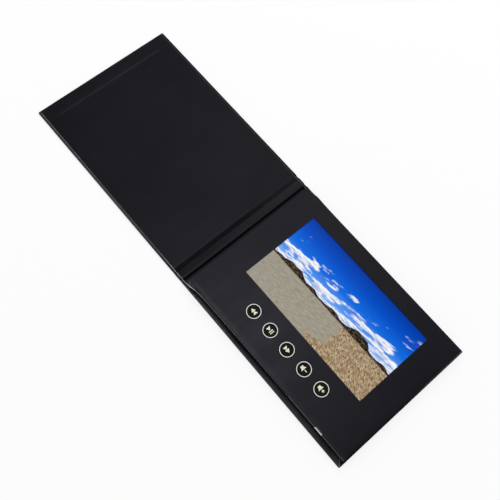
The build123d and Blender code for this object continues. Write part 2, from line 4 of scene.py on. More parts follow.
import bmesh
import bpy
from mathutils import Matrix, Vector


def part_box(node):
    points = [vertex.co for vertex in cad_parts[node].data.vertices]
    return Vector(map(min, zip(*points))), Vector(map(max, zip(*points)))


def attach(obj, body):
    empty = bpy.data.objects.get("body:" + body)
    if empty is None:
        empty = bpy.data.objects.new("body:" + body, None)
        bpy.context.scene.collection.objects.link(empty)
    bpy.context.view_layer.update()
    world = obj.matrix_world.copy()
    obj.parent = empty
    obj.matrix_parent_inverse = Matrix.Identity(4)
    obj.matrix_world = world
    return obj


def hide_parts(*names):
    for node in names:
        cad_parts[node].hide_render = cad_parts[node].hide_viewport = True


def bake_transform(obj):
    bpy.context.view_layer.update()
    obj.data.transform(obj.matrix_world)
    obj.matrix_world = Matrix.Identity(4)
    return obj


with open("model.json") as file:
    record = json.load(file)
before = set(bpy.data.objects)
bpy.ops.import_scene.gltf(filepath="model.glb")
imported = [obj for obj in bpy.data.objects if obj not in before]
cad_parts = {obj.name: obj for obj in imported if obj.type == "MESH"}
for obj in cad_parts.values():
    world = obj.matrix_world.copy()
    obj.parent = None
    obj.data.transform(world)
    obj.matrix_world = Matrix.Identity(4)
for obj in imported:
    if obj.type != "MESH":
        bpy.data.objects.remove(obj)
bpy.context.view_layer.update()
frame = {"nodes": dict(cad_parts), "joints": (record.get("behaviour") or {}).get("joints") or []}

# ------------------------------------------------------------------------ grey boards
# Three pieces of pressed waste-paper board stiffen the covers and the spine. They are
# cut with a knife, so their edges are square, and the paper wrapped round hides them.
node = frame["nodes"]
mm = 0.001


def colour(red, green, blue):
    """A colour as it looks on a screen, 0 to 255, in the linear values of a socket."""
    return (*((part / 255 / 12.92 if part < 11 else ((part / 255 + 0.055) / 1.055) ** 2.4)
              for part in (red, green, blue)), 1.0)


class Value:
    """A socket's output, whose arithmetic adds Math nodes to the finish."""

    def __init__(self, finish, socket):
        self.finish = finish
        self.socket = socket

    def math(self, operation, *parts):
        return self.finish.node("Math", {"operation": operation}, dict(enumerate(parts)))

    def __add__(self, other):
        return self.math("ADD", self, other)

    def __sub__(self, other):
        return self.math("SUBTRACT", self, other)

    def __rsub__(self, other):
        return self.math("SUBTRACT", other, self)

    def __mul__(self, other):
        return self.math("MULTIPLY", self, other)

    def __truediv__(self, other):
        return self.math("DIVIDE", self, other)

    def __rtruediv__(self, other):
        return self.math("DIVIDE", other, self)

    def __pow__(self, other):
        return self.math("POWER", self, other)

    def __gt__(self, other):
        return self.math("GREATER_THAN", self, other)

    def __lt__(self, other):
        return self.math("LESS_THAN", self, other)

    def __abs__(self):
        return self.math("ABSOLUTE", self)

    def larger(self, other):
        return self.math("MAXIMUM", self, other)

    __radd__ = __add__
    __rmul__ = __mul__


class Finish:
    """The nodes of a material or of the surround."""

    def __init__(self, owner):
        owner.use_nodes = True
        self.owner = owner
        self.tree = owner.node_tree
        self.tree.nodes.clear()

    def node(self, kind, settings, sockets, output=0):
        """Any node: its settings first, then the values or links of its sockets."""
        made = self.tree.nodes.new("ShaderNode" + kind)
        stops = settings.pop("stops", ())
        for name, setting in settings.items():
            setattr(made, name, setting)
        for number, (place, shade) in enumerate(stops):
            ramp = made.color_ramp.elements
            stop = ramp[number] if number < 2 else ramp.new(place)
            stop.position = place
            stop.color = shade
        for name, value in sockets.items():
            if isinstance(value, Value):
                self.tree.links.new(value.socket, made.inputs[name])
            else:
                made.inputs[name].default_value = value
        return Value(self, made.outputs[output]) if made.outputs else None

    def place(self):
        """The place on the object, in metres."""
        return self.node("TexCoord", {}, {}, "Object")

    def axes(self):
        """The same place along X, along Y and along Z."""
        place = self.place()
        return [self.node("SeparateXYZ", {}, {0: place}, axis) for axis in range(3)]

    def noise(self, scale, detail=3.0, place=None, stretch=(1, 1, 1), roughness=0.55):
        """Noise from 0 to 1 with its marks about 1 / scale metres apart."""
        stretched = self.node("VectorMath", {"operation": "MULTIPLY"},
                              {0: place or self.place(), 1: stretch})
        return self.node("TexNoise", {}, {"Vector": stretched, "Scale": scale,
                                          "Detail": detail, "Roughness": roughness})

    def range(self, value, low, high, new_low=0.0, new_high=1.0):
        """A value carried smoothly from one range to another, held inside it."""
        return self.node("MapRange", {"interpolation_type": "SMOOTHSTEP"},
                         {0: value, 1: low, 2: high, 3: new_low, 4: new_high})

    def line(self, off, half, fade, share=1.0):
        """A soft line: full within half of where this distance is 0, gone at fade."""
        return self.range(abs(off), half, fade, share, 0)

    def mix(self, share, first, second):
        """The first colour at share 0, the second at share 1."""
        return self.node("Mix", {"data_type": "RGBA"}, {0: share, 6: first, 7: second}, 2)

    def bump(self, height, distance, strength=1.0):
        """A normal from a height whose 1 stands for that many metres."""
        return self.node("Bump", {}, {"Strength": strength, "Distance": distance,
                                      "Height": height})

    def shader(self, **sockets):
        """The surface shader, with its sockets named with _ for spaces."""
        named = {name.replace("_", " "): value for name, value in sockets.items()}
        self.node("OutputMaterial", {}, {0: self.node("BsdfPrincipled", {}, named)})
        return self.owner


def new_finish(name):
    """An empty material of this name."""
    return Finish(bpy.data.materials.new(name))


def dress(material, *names):
    """Give the frame's own pieces a finish."""
    for name in names:
        node[name].data.materials.clear()
        node[name].data.materials.append(material)


def grey_board_finish():
    """Pressed fibres with dark flecks of old print."""
    board = new_finish("grey_board")
    fibres = board.noise(900, 4, stretch=(1, 0.25, 3))
    flecks = board.noise(350, 2)
    shade = board.mix(fibres, colour(118, 114, 106), colour(158, 152, 142))
    shade = board.mix(board.range(flecks, 0.66, 0.72), shade, colour(84, 80, 78))
    return board.shader(Base_Color=shade, Roughness=board.range(fibres, 0, 1, 0.8, 0.95),
                        Normal=board.bump(fibres, 0.05 * mm))


dress(grey_board_finish(), "back_cover_board", "front_cover_board", "spine_board")

# ------------------------------------------------------------------------ outer wrap
# One sheet of black laminated paper goes round all three boards. It is glued under
# them, folded over their edges with mitred corners, and creased at the two folds.
cover_end, half_cover, cover_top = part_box("back_cover_wrap")[1]
board_low, board_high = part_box("back_cover_board")
board_start = board_low.x
board_top = board_high.z
spine_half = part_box("spine_board")[1].x
joints = {joint["name"]: joint for joint in frame["joints"]}
fold_x, _, fold_z = joints["spine_fold"]["pos_m"]
sheet_thickness = 0.2 * mm
turn_in = 15 * mm               # of the wrap, over the boards' inner faces
turned_half = half_cover - turn_in
slope_run = 1 * mm              # of the paper, from a board's edge to the groove
edge_radius = 0.42 * mm         # the paper's turn round a board's edge
corner_radius = 0.8 * mm
wrap_segments = 5               # of the paper's slope down to the groove
fold_low = fold_z - sheet_thickness
fold_high = fold_low + 2.2 * sheet_thickness    # two sheets, and air between them
hair = 1e-7                     # nearer than this, two places are one
board_foot = board_start - slope_run
spine_foot = spine_half + slope_run


def lies_at(part, axis, place):
    """Whether every corner of an edge or face has this coordinate."""
    return all(abs(corner.co[axis] - place) < hair for corner in part.verts)


def put(name, maker, *materials):
    """Make an object at the origin from a finished bmesh, rounded where it is blunt."""
    for face in maker.faces:
        face.smooth = True
    for edge in maker.edges:
        edge.smooth = edge.calc_face_angle(0) < math.radians(40)
    mesh = bpy.data.meshes.new(name)
    maker.to_mesh(mesh)
    maker.free()
    piece = bpy.data.objects.new(name, mesh)
    bpy.context.scene.collection.objects.link(piece)
    for material in materials:
        mesh.materials.append(material)
    return piece


def box_maker(low, high):
    """A bmesh cube between two corners."""
    maker = bmesh.new()
    bmesh.ops.create_cube(maker, size=1)
    low, high = Vector(low), Vector(high)
    bmesh.ops.scale(maker, vec=high - low, verts=maker.verts)
    bmesh.ops.translate(maker, vec=(low + high) / 2, verts=maker.verts)
    return maker


def split(maker, point, normal, only=None, **clear):
    """Split the faces along a plane, and clear one side of it if asked."""
    faces = [face for face in maker.faces if only is None or only(face)]
    parts = dict.fromkeys(part for face in faces
                          for part in (*face.verts, *face.edges, face))
    bmesh.ops.bisect_plane(maker, geom=list(parts), dist=hair, plane_co=point,
                           plane_no=normal, **clear)


def cut(maker, axis, place, only=None):
    """Split the faces along a plane square to an axis."""
    normal = Vector.Fill(3, 0)
    normal[axis] = 1
    split(maker, normal * place, normal, only)


def round_off(maker, edges, radius, segments):
    """Turn sharp edges into bends."""
    bmesh.ops.bevel(maker, geom=edges, offset=radius, offset_type="OFFSET",
                    affect="EDGES", segments=segments, profile=0.5, material=-1)


def ease(share):
    """A smooth start and end, held between 0 and 1."""
    share = min(1, max(0, share))
    return share * share * (3 - 2 * share)


def draw_out(maker, corners):
    """Extrude the chain of edges between these corners, and give the new ones in turn."""
    chain = {edge for corner in corners for edge in corner.link_edges
             if edge.other_vert(corner) in corners}
    made = set(bmesh.ops.extrude_edge_only(maker, edges=list(chain))["geom"])
    return [next(edge.other_vert(corner) for edge in corner.link_edges
                 if edge.other_vert(corner) in made) for corner in corners]


def wrapped_board(start, end, folds, outer_end=None):
    """The wrap round one board, with its turn-ins and its run down to each fold."""
    maker = box_maker((start, -half_cover, 0), (end, half_cover, cover_top))
    if outer_end is not None:
        uprights = [edge for edge in maker.edges
                    if lies_at(edge, 0, outer_end) and lies_at(edge, 1, edge.verts[0].co.y)]
        round_off(maker, uprights, corner_radius, 5)
    rims = [edge for edge in maker.edges
            if (lies_at(edge, 2, 0) or lies_at(edge, 2, cover_top))
            and not any(lies_at(edge, 0, fold) for fold in folds)]
    round_off(maker, rims, edge_radius, 3)
    open_ends = [face for face in maker.faces if any(lies_at(face, 0, fold) for fold in folds)]
    bmesh.ops.delete(maker, geom=open_ends, context="FACES_ONLY")
    for inset in (2 * edge_radius, turn_in):    # the first keeps the flats' shading flat
        cut(maker, 1, inset - half_cover)
        cut(maker, 1, half_cover - inset)
        if outer_end is not None:
            cut(maker, 0, math.copysign(abs(outer_end) - inset, outer_end))
    turned_x = math.inf if outer_end is None else abs(outer_end) - turn_in
    bare = [face for face in maker.faces
            if lies_at(face, 2, cover_top) and abs(face.calc_center_median().y) < turned_half
            and abs(face.calc_center_median().x) < turned_x]
    bmesh.ops.delete(maker, geom=bare, context="FACES")
    for fold in folds:
        way = math.copysign(1, fold) * (-1 if outer_end is not None else 1)
        rim = [corner for corner in maker.verts if abs(corner.co.x - fold) < hair]
        heights = [corner.co.z for corner in rim]
        for step in range(1, wrap_segments + 1):
            rim = draw_out(maker, rim)
            for corner, height in zip(rim, heights):
                flat = fold_low + height / cover_top * (fold_high - fold_low)
                corner.co.z = height + ease(step / wrap_segments) * (flat - height)
                corner.co.x += way * slope_run / wrap_segments
    return maker


def mitre(maker, outer_end):
    """A low ridge across each turned-in corner, where one flap laps the other."""
    ridge_half = 0.45 * mm
    ridge_height = 0.16 * mm
    way = math.copysign(1, outer_end)
    for side in (-1, 1):
        corner = Vector((outer_end, side * half_cover, cover_top))
        across = Vector((-way, side, 0)).normalized()

        def by_corner(part):
            middle = part.calc_center_median()
            return (lies_at(part, 2, cover_top) and middle.y * side > turned_half
                    and abs(middle.x) > abs(outer_end) - turn_in)

        for offset in (-ridge_half, 0, ridge_half):
            split(maker, corner + offset * across, across, by_corner)
        for spot in maker.verts:
            reach = spot.co - corner
            if (abs(reach.z) < hair and abs(reach.dot(across)) < 10 * hair
                    and reach.length < 1.5 * turn_in):
                spot.co.z += ridge_height


def thicken(maker, shown, up=1):
    """Give an open sheet its thickness, behind the side that these faces show: up
    is 1 where they look up and -1 where they look down."""
    bmesh.ops.recalc_face_normals(maker, faces=maker.faces)
    if sum(face.normal.z for face in shown) * up < 0:
        bmesh.ops.reverse_faces(maker, faces=maker.faces)
    bmesh.ops.solidify(maker, geom=maker.faces[:], thickness=sheet_thickness)


def thicken_wrap(maker):
    """A wrap shows its outside, and so looks down on the board's underside."""
    thicken(maker, [min(maker.faces, key=lambda face: face.calc_center_median().z)], -1)


wear_and_sheen_grey = colour(112, 111, 114)    # worn film, and painted sheen and highlights
painted_shade_black = colour(2, 2, 3)         # painted shade in the grooves and creases
film_tint = (0.9, 0.87, 1, 1)           # the matt film gives light back a little bluer


def black_paper(name, sheen, wear_and_sheen=None, relief=None, dark=None):
    """Black laminated paper: a fine tooth under a matt film, and handling marks. Its paler
    places (wear, and painted sheen and highlights) and its dark places (painted shade) are masks
    from 0 to 1, and its relief is in millimetres."""
    paper = new_finish(name)
    x, y, z = paper.axes()
    tooth = paper.noise(2600, 3)
    cloud = paper.noise(14, 2)
    marks = paper.noise(60, 5, stretch=(1, 0.35, 1))
    base = paper.mix(paper.range(cloud, 0.3, 0.7), colour(10, 9, 15), colour(16, 14, 21))
    base = paper.mix(paper.range(marks, 0.58, 0.8, 0, 0.5), base, colour(25, 24, 30))
    height = tooth * 0.006
    rough = paper.range(marks, 0.3, 0.75, sheen - 0.03, sheen + 0.04)
    # painted shade: the dark mask takes the film towards near black and dulls it
    if dark:
        shade_mask = dark(paper, x, y, z)
        base = paper.mix(shade_mask, base, painted_shade_black)
        rough = rough + shade_mask * 0.4
    # the paler mask: wear, and painted sheen and highlights
    if wear_and_sheen:
        base = paper.mix(wear_and_sheen(paper, x, y, z), base, wear_and_sheen_grey)
    if relief:
        height = height + relief(paper, x, y, z)
    return paper.shader(Base_Color=base, Roughness=rough, Specular_IOR_Level=0.11,
                        Specular_Tint=film_tint, Normal=paper.bump(height, mm))


def wear_and_sheen_wrap(paper, x, y, z):
    """The wrap is paler along the mitre folds and worn paler at the outer corners. It has a
    painted sheen along the sides, a painted highlight at the back cover's end, and painted light
    on the lip under the near flap, against the flap's shadow."""
    out_x = cover_end - abs(x)
    out_y = half_cover - abs(y)
    inner_face = z > cover_top / 2
    patchy = paper.range(paper.noise(420, 3), 0.3, 0.7, 0.45, 1)
    mitres = paper.line(out_x - out_y, 0.25 * mm, 0.7 * mm)
    mitres = mitres * paper.range(out_x, 3 * mm, 10 * mm, 1, 0.2) * inner_face
    # the painted sheen is strongest on the near sides, and most of all beside the block's hinge
    # corner
    along = paper.range(x, -120 * mm, -40 * mm, 0.9, 0.5) + paper.range(x, 0, 30 * mm, 0, 1.3)
    along = along * paper.range(x, 50 * mm, 100 * mm, 1, 0.55)
    along = along * paper.range(x, 100 * mm, 150 * mm, 1, 0.45)
    along = along * paper.range(y * paper.noise(60, 2), -20 * mm, 38 * mm, 1, 0.03)
    sides = paper.range(out_y, 0.2 * mm, 3.6 * mm, 0.34, 0) * along
    # painted light on the lip under the near flap, where the flap's shadow falls
    lit_under_flap = paper.range(x, 15 * mm, 30 * mm) * paper.range(x, 45 * mm, 90 * mm, 1, 0)
    sides = sides + lit_under_flap * paper.range(out_y, 0, 3.5 * mm, 0.04, 0.2) * inner_face
    corners = paper.range(out_x + out_y, 1 * mm, 3.5 * mm, 0.5, 0)
    # a painted highlight line along the back cover's end
    back_end_highlight = paper.line(out_x - 1.2 * mm, 0.3 * mm, 0.7 * mm, 0.8)
    back_end_highlight = back_end_highlight * paper.range(y, 0, 50 * mm) * (x > 0)
    return mitres.larger(sides).larger(corners).larger(back_end_highlight) * patchy


# the wrap: worn corners, a painted sheen and painted light
wrap_paper = black_paper("wrap_paper", 0.37, wear_and_sheen_wrap)
for side, body in ((1, "back_cover"), (-1, "front_cover")):
    ends = sorted((side * board_start, side * cover_end))
    cover = wrapped_board(*ends, [side * board_start], side * cover_end)
    mitre(cover, side * cover_end)
    thicken_wrap(cover)
    piece = put(f"{body}_paper", cover, wrap_paper)
    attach(piece, body)
    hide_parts(f"{body}_wrap")

spine_paper = wrapped_board(-spine_half, spine_half, [-spine_half, spine_half])
thicken_wrap(spine_paper)
piece = put("spine_paper", spine_paper, wrap_paper)
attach(piece, "spine")
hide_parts("spine_wrap")

# The creased strips between the boards: one paper in the middle, and doubled by the
# turn-in near both ends.
crease_steps = 16
crease_radius = 0.15 * mm       # of the strip's folded ends
lap_step = 0.4 * mm             # where the turned-in end starts to double the paper


def blend_over_fold(piece):
    """Bake a strip's placement into its mesh."""
    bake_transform(piece)


def crease_strip(side):
    """The wrap across one groove."""
    low_x, high_x = sorted((side * spine_foot, side * board_foot))
    strip = box_maker((low_x, -half_cover, fold_low), (high_x, half_cover, fold_high))
    ends = [edge for edge in strip.edges
            if lies_at(edge, 2, edge.verts[0].co.z) and lies_at(edge, 1, edge.verts[0].co.y)]
    round_off(strip, ends, crease_radius, 3)
    for place in (turned_half, turned_half + lap_step, half_cover - lap_step):
        cut(strip, 1, -place)
        cut(strip, 1, place)
    for corner in strip.verts:
        if abs(corner.co.y) < turned_half + 10 * hair and corner.co.z > fold_z:
            corner.co.z = fold_z
    for step in range(1, crease_steps):
        cut(strip, 0, low_x + step * (high_x - low_x) / crease_steps)
    return strip


for side, name in ((1, "back"), (-1, "front")):
    piece = put(f"{name}_crease_paper", crease_strip(side), wrap_paper)
    blend_over_fold(piece)

# ------------------------------------------------------------------------ magnet
# A nickel-plated disc pressed into the front board. Closed over the reed switch, it
# turns the player off.


def metal(name, shade, rough):
    """Bare metal with fine marks of its making."""
    steel = new_finish(name)
    lines = steel.noise(400, 4, stretch=(1, 0.1, 1))
    dull = tuple(part * 0.8 for part in shade[:3]) + (1.0,)
    return steel.shader(Base_Color=steel.mix(lines, dull, shade), Metallic=1.0,
                        Roughness=steel.range(lines, 0.2, 0.8, rough - 0.06, rough + 0.08),
                        Normal=steel.bump(lines, 0.01 * mm, 0.4))


dress(metal("magnet_metal", colour(196, 194, 190), 0.22), "cover_magnet", "speaker_magnet")

# ------------------------------------------------------------------------ inner liner
# A second sheet of the black paper covers the boards' inner faces and hides the
# turn-ins, which show through as a low step. It is cut 2 mm short of the covers.
liner_low, liner_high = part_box("front_cover_liner")
liner_half = liner_high.y
liner_end = liner_low.x
liner_rim = 0.35 * mm           # the knife-cut rim, in the cut edge's finish
end_step = 1.3 * mm             # run of the step over the turned-in wrap at the end
side_step = 5 * mm              # and at the sides, where it is softer
step_place = -(cover_end - turn_in)
magnet_low, magnet_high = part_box("cover_magnet")
magnet_centre = (magnet_low + magnet_high) / 2
magnet_radius = (magnet_high.x - magnet_low.x) / 2
magnet_rise = 0.14 * mm         # of the liner over the magnet
bump_foot = 1.3                 # where the rise starts, in the magnet's radii
bump_run = 0.8                  # and how many it takes
flat_margin = 3 * mm            # a row of the liner on the board, beside its lip
groove_line = {1: 6.5 * mm, -1: 5.2 * mm}   # the folding stick's line in each groove
spine_lip = {1: 5.2 * mm, -1: 2.9 * mm}     # where the liner leaves the spine
board_lip = board_start + 0.25 * mm         # and where it lies on the boards again


def over_turn_in(x, y):
    """How far the liner is lifted, from 0 in the middle to 1 over the turned-in wrap."""
    return max(ease((abs(y) - turned_half) / side_step + 0.5),
               ease((step_place - x) / end_step + 0.5))


def liner_height(x, y):
    """The liner's upper face: on the boards, and down into both grooves."""
    lifted = 1 if x > fold_x else over_turn_in(x, y)
    on_board = board_top + sheet_thickness + lifted * sheet_thickness
    low = fold_z + sheet_thickness + over_turn_in(x, y) * (fold_high - fold_z)
    side = 1 if x > 0 else -1
    down = min(ease((abs(x) - spine_lip[side]) / (groove_line[side] - spine_lip[side])),
               ease((board_lip - abs(x)) / (board_lip - groove_line[side])))
    off_magnet = math.hypot(x - magnet_centre.x, y - magnet_centre.y) / magnet_radius
    rise = magnet_rise * ease((bump_foot - off_magnet) / bump_run)
    return on_board + down * (low - on_board) + rise


def stations(start, end, steps):
    """Evenly spaced places, both ends among them."""
    return [start + step * (end - start) / steps for step in range(steps + 1)]


def liner_sheet(places):
    """A flat strip of liner with rows along these places on X."""
    maker = bmesh.new()
    row = [maker.verts.new((x, -liner_half, 0)) for x in places]
    for pair in zip(row, row[1:]):
        maker.edges.new(pair)
    step = stations(turned_half - side_step / 2, turned_half + side_step / 2, 8)
    for y in (-liner_half + liner_rim, *(-place for place in reversed(step)), *step,
              liner_half - liner_rim, liner_half):
        row = draw_out(maker, row)
        bmesh.ops.translate(maker, vec=(0, y - row[0].co.y, 0), verts=row)
    return maker


def lay(maker):
    """Lay the sheet down, give it its thickness and mark its cut edges."""
    for spot in maker.verts:
        spot.co.z = liner_height(spot.co.x, spot.co.y)
    thicken(maker, maker.faces)
    for face in maker.faces:
        middle = face.calc_center_median()
        if abs(middle.y) > liner_half - liner_rim or middle.x < liner_end + liner_rim:
            face.material_index = 1
    return maker


def cut_edge_finish():
    """The sheet's knife-cut rim: pale grey in broken patches, brightest near the hinge and on
    the near side, fainter towards the back cover's end and the far side, and dark at the ends."""
    edge = new_finish("cut_edge")
    x, y, _ = edge.axes()
    broken = edge.noise(240, 5, stretch=(1, 1, 0.2), roughness=0.7)
    paleness = edge.range(x, -190 * mm, -120 * mm, 0.5, 0.3) + edge.range(x, -40 * mm, 0, 0, 0.7)
    paleness = paleness * edge.range(x, 10 * mm, 30 * mm, 1, 0.55)
    paleness = paleness * edge.range(x, 100 * mm, 200 * mm, 1, 0.45)
    paleness = paleness * edge.range(y, -50 * mm, 50 * mm, 1, 0.2)
    paleness = paleness * edge.range(abs(x), cover_end - 2.9 * mm, cover_end - 2.4 * mm, 1, 0)
    share = edge.range(broken, 0.15, 0.6, 0.3, 1) * paleness
    shade = edge.mix(share, colour(10, 9, 14), colour(196, 194, 198))
    return edge.shader(Base_Color=shade, Roughness=edge.range(broken, 0.2, 0.8, 0.4, 0.7),
                       Specular_IOR_Level=0.2, Normal=edge.bump(broken, 0.05 * mm))


def painted_highlight_lines(paper, x, y, z):
    """Painted highlights: over the turn-in's step at the end, on the spine's ridge, and on the
    front groove, most of all on its far half."""
    step = paper.line(x - step_place, 0.4 * mm, 1.8 * mm)
    step = step * paper.range(abs(y), turned_half - 4 * mm, turned_half, 1, 0.2)
    step = step * paper.range(paper.noise(30, 3), 0.2, 0.7, 0.4, 1) * 0.06
    far_half = paper.range(y, 0, 45 * mm)
    fold = paper.range(x, -board_lip - 0.3 * mm, -board_lip + 0.1 * mm)
    far_fold = fold * paper.range(x, -7.4 * mm, -5.6 * mm, 0.05, 0.028)
    far_fold = far_fold * paper.range(x, 2.6 * mm, 3.4 * mm, 1, 0) * far_half
    near_fold = fold * paper.range(x, -8.2 * mm, -7.2 * mm, 0.045, 0) * (1 - far_half)
    ridge = paper.line(x - spine_lip[1] + 0.7 * mm, 0.4 * mm, 1.1 * mm, 0.02)
    return step + far_fold + near_fold + ridge


def painted_crease_shade(paper, x, y, z):
    """Painted shade: darkest at the bottom of both grooves, less so at the front groove's far
    end, and over the spine's near half."""
    by_block = paper.line(x - groove_line[1] - 0.3 * mm, 0.7 * mm, 2 * mm)
    by_cover = paper.range(x, -7.2 * mm, -5.4 * mm) * paper.range(y, 0, 70 * mm, 1, 0.6)
    by_cover = by_cover * paper.range(x, -4.8 * mm, -1.6 * mm, 0.65, 0)
    on_spine = paper.line(x, 2.4 * mm, 3.2 * mm, 0.25) * paper.range(y, -50 * mm, 0, 1, 0)
    return by_block + by_cover + on_spine


# the liner: painted highlight lines, and painted shade in the creases and on the spine
liner_paper = black_paper("liner_paper", 0.46, painted_highlight_lines, dark=painted_crease_shade)
cut_edge = cut_edge_finish()

over_step = stations(step_place - end_step / 2, step_place + end_step / 2, 6)
ramp = stations(board_foot, board_lip, 6)
front_places = [liner_end, liner_end + liner_rim, *over_step, -board_start - flat_margin,
                *(-place for place in reversed(ramp))]
front_liner = liner_sheet(front_places)
bump_reach = bump_foot * magnet_radius
for axis in (0, 1):
    for side in (-1, 1):
        cut(front_liner, axis, magnet_centre[axis] + side * bump_reach)
over_magnet = {edge for face in front_liner.faces for edge in face.edges
               if (face.calc_center_median() - magnet_centre).xy.length < magnet_radius / 2}
bmesh.ops.subdivide_edges(front_liner, edges=list(over_magnet), cuts=15, use_grid_fill=True)
piece = put("front_cover_lining", lay(front_liner), liner_paper, cut_edge)
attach(piece, "front_cover")
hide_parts("front_cover_liner")

spine_slope = stations(spine_lip[-1], spine_foot, 8)
spine_places = [-place for place in reversed(spine_slope)] + spine_slope
piece = put("spine_lining", lay(liner_sheet(spine_places)), liner_paper, cut_edge)
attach(piece, "spine")
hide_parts("spine_liner")

for side, name in ((1, "back"), (-1, "front")):
    places = stations(*sorted((side * spine_foot, side * board_foot)), crease_steps)
    piece = put(f"{name}_crease_lining", lay(liner_sheet(places)), liner_paper, cut_edge)
    blend_over_fold(piece)

# ------------------------------------------------------------------------ card case
# The block is built up from black card: a base, four walls and a face with punched
# openings. White glue joins the layers, and filler foam packs the space inside.


def card_finish():
    """Black card, whose layers show on its cut edges."""
    card = new_finish("block_card")
    layers = card.noise(5200, 2, stretch=(0.02, 0.02, 1))
    fibres = card.noise(1500, 3)
    shade = card.mix(card.range(layers, 0.35, 0.65), colour(11, 10, 13), colour(24, 23, 26))
    return card.shader(Base_Color=shade, Roughness=card.range(fibres, 0.2, 0.8, 0.65, 0.85),
                       Specular_IOR_Level=0.12, Normal=card.bump(fibres, 0.03 * mm))


def single_grain(name, scale, detail, dark, light, smooth, rough, depth):
    """One grain in the colour, the gloss and the relief of a plain hidden piece."""
    finish = new_finish(name)
    grain = finish.noise(scale, detail)
    return finish.shader(Base_Color=finish.mix(grain, dark, light),
                         Roughness=finish.range(grain, 0.2, 0.8, smooth, rough),
                         Normal=finish.bump(grain, depth))


def foam_finish():
    """Dark grey foam with open cells."""
    foam = new_finish("foam")
    cells = foam.node("TexVoronoi", {}, {"Scale": 1400.0})
    shade = foam.mix(foam.range(cells, 0.1, 0.6), colour(38, 38, 40), colour(74, 74, 77))
    return foam.shader(Base_Color=shade, Roughness=foam.range(cells, 0, 1, 0.85, 0.98),
                       Normal=foam.bump(cells, 0.15 * mm))


dress(card_finish(), "block_base", "block_wall", "face_card")
dress(single_grain("adhesive", 220, 4, colour(196, 190, 172), colour(226, 222, 206),
                   0.3, 0.55, 0.03 * mm), "block_adhesive")
dress(foam_finish(), "lower_foam", "upper_foam")

# ------------------------------------------------------------------------ battery
# A flat pouch cell in silver foil lies under the panel. Two leads with a white plug
# carry its charge to the main board.


def foil_finish():
    """The cell's wrinkled silver pouch."""
    foil = new_finish("battery_foil")
    wrinkle = foil.noise(90, 5, stretch=(1, 0.5, 1))
    shade = foil.mix(wrinkle, colour(176, 178, 182), colour(214, 215, 218))
    return foil.shader(Base_Color=shade, Metallic=1.0,
                       Roughness=foil.range(wrinkle, 0.3, 0.7, 0.28, 0.45),
                       Normal=foil.bump(wrinkle, 0.15 * mm))


def moulded_plastic(name, dark, light, rough):
    """Moulded plastic with a fine spark-eroded grain."""
    plastic = new_finish(name)
    grain = plastic.noise(2200, 2)
    flow = plastic.noise(40, 3)
    return plastic.shader(Base_Color=plastic.mix(flow, dark, light),
                          Roughness=plastic.range(grain, 0.2, 0.8, rough - 0.05, rough + 0.06),
                          Normal=plastic.bump(grain, 0.01 * mm))


def lead_finish():
    """Rubber sleeves, red and black by turns."""
    rubber = new_finish("lead_rubber")
    grain = rubber.noise(1800, 2)
    shade = rubber.mix(rubber.range(rubber.noise(120, 1), 0.42, 0.5),
                       colour(150, 22, 20), colour(26, 26, 28))
    return rubber.shader(Base_Color=shade,
                         Roughness=rubber.range(grain, 0.2, 0.8, 0.4, 0.55),
                         Normal=rubber.bump(grain, 0.01 * mm))


dress(foil_finish(), "battery")
white_plastic = moulded_plastic("white_plastic", colour(222, 221, 214),
                                colour(236, 235, 230), 0.45)
dress(white_plastic, "lead_plugs", "ribbon_socket")
dress(lead_finish(), "battery_leads", "speaker_leads")

# ------------------------------------------------------------------------ loudspeaker
# A small round loudspeaker: a paper cone in a pressed steel basket, with a magnet at
# its back. Its two leads end in a plug on the main board.
panel_steel = metal("panel_steel", colour(188, 190, 192), 0.34)
dress(panel_steel, "speaker_frame", "panel_frame")
dress(single_grain("cone_paper", 1200, 4, colour(34, 33, 32), colour(66, 64, 60),
                   0.7, 0.9, 0.05 * mm), "speaker_cone")

# ------------------------------------------------------------------------ display panel
# A seven-inch panel: a steel frame holding a white light box and the glass. It shows
# a plain landscape of its own: a clouded sky, low hills, a dune and dry grass.
glass_low, glass_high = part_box("panel_glass")
glass_overlap = 3 * mm          # glass hidden beyond the window, on each side
window_low = glass_low + Vector((glass_overlap, glass_overlap, 0))
window_size = glass_high - glass_low - 2 * Vector((glass_overlap, glass_overlap, 0))


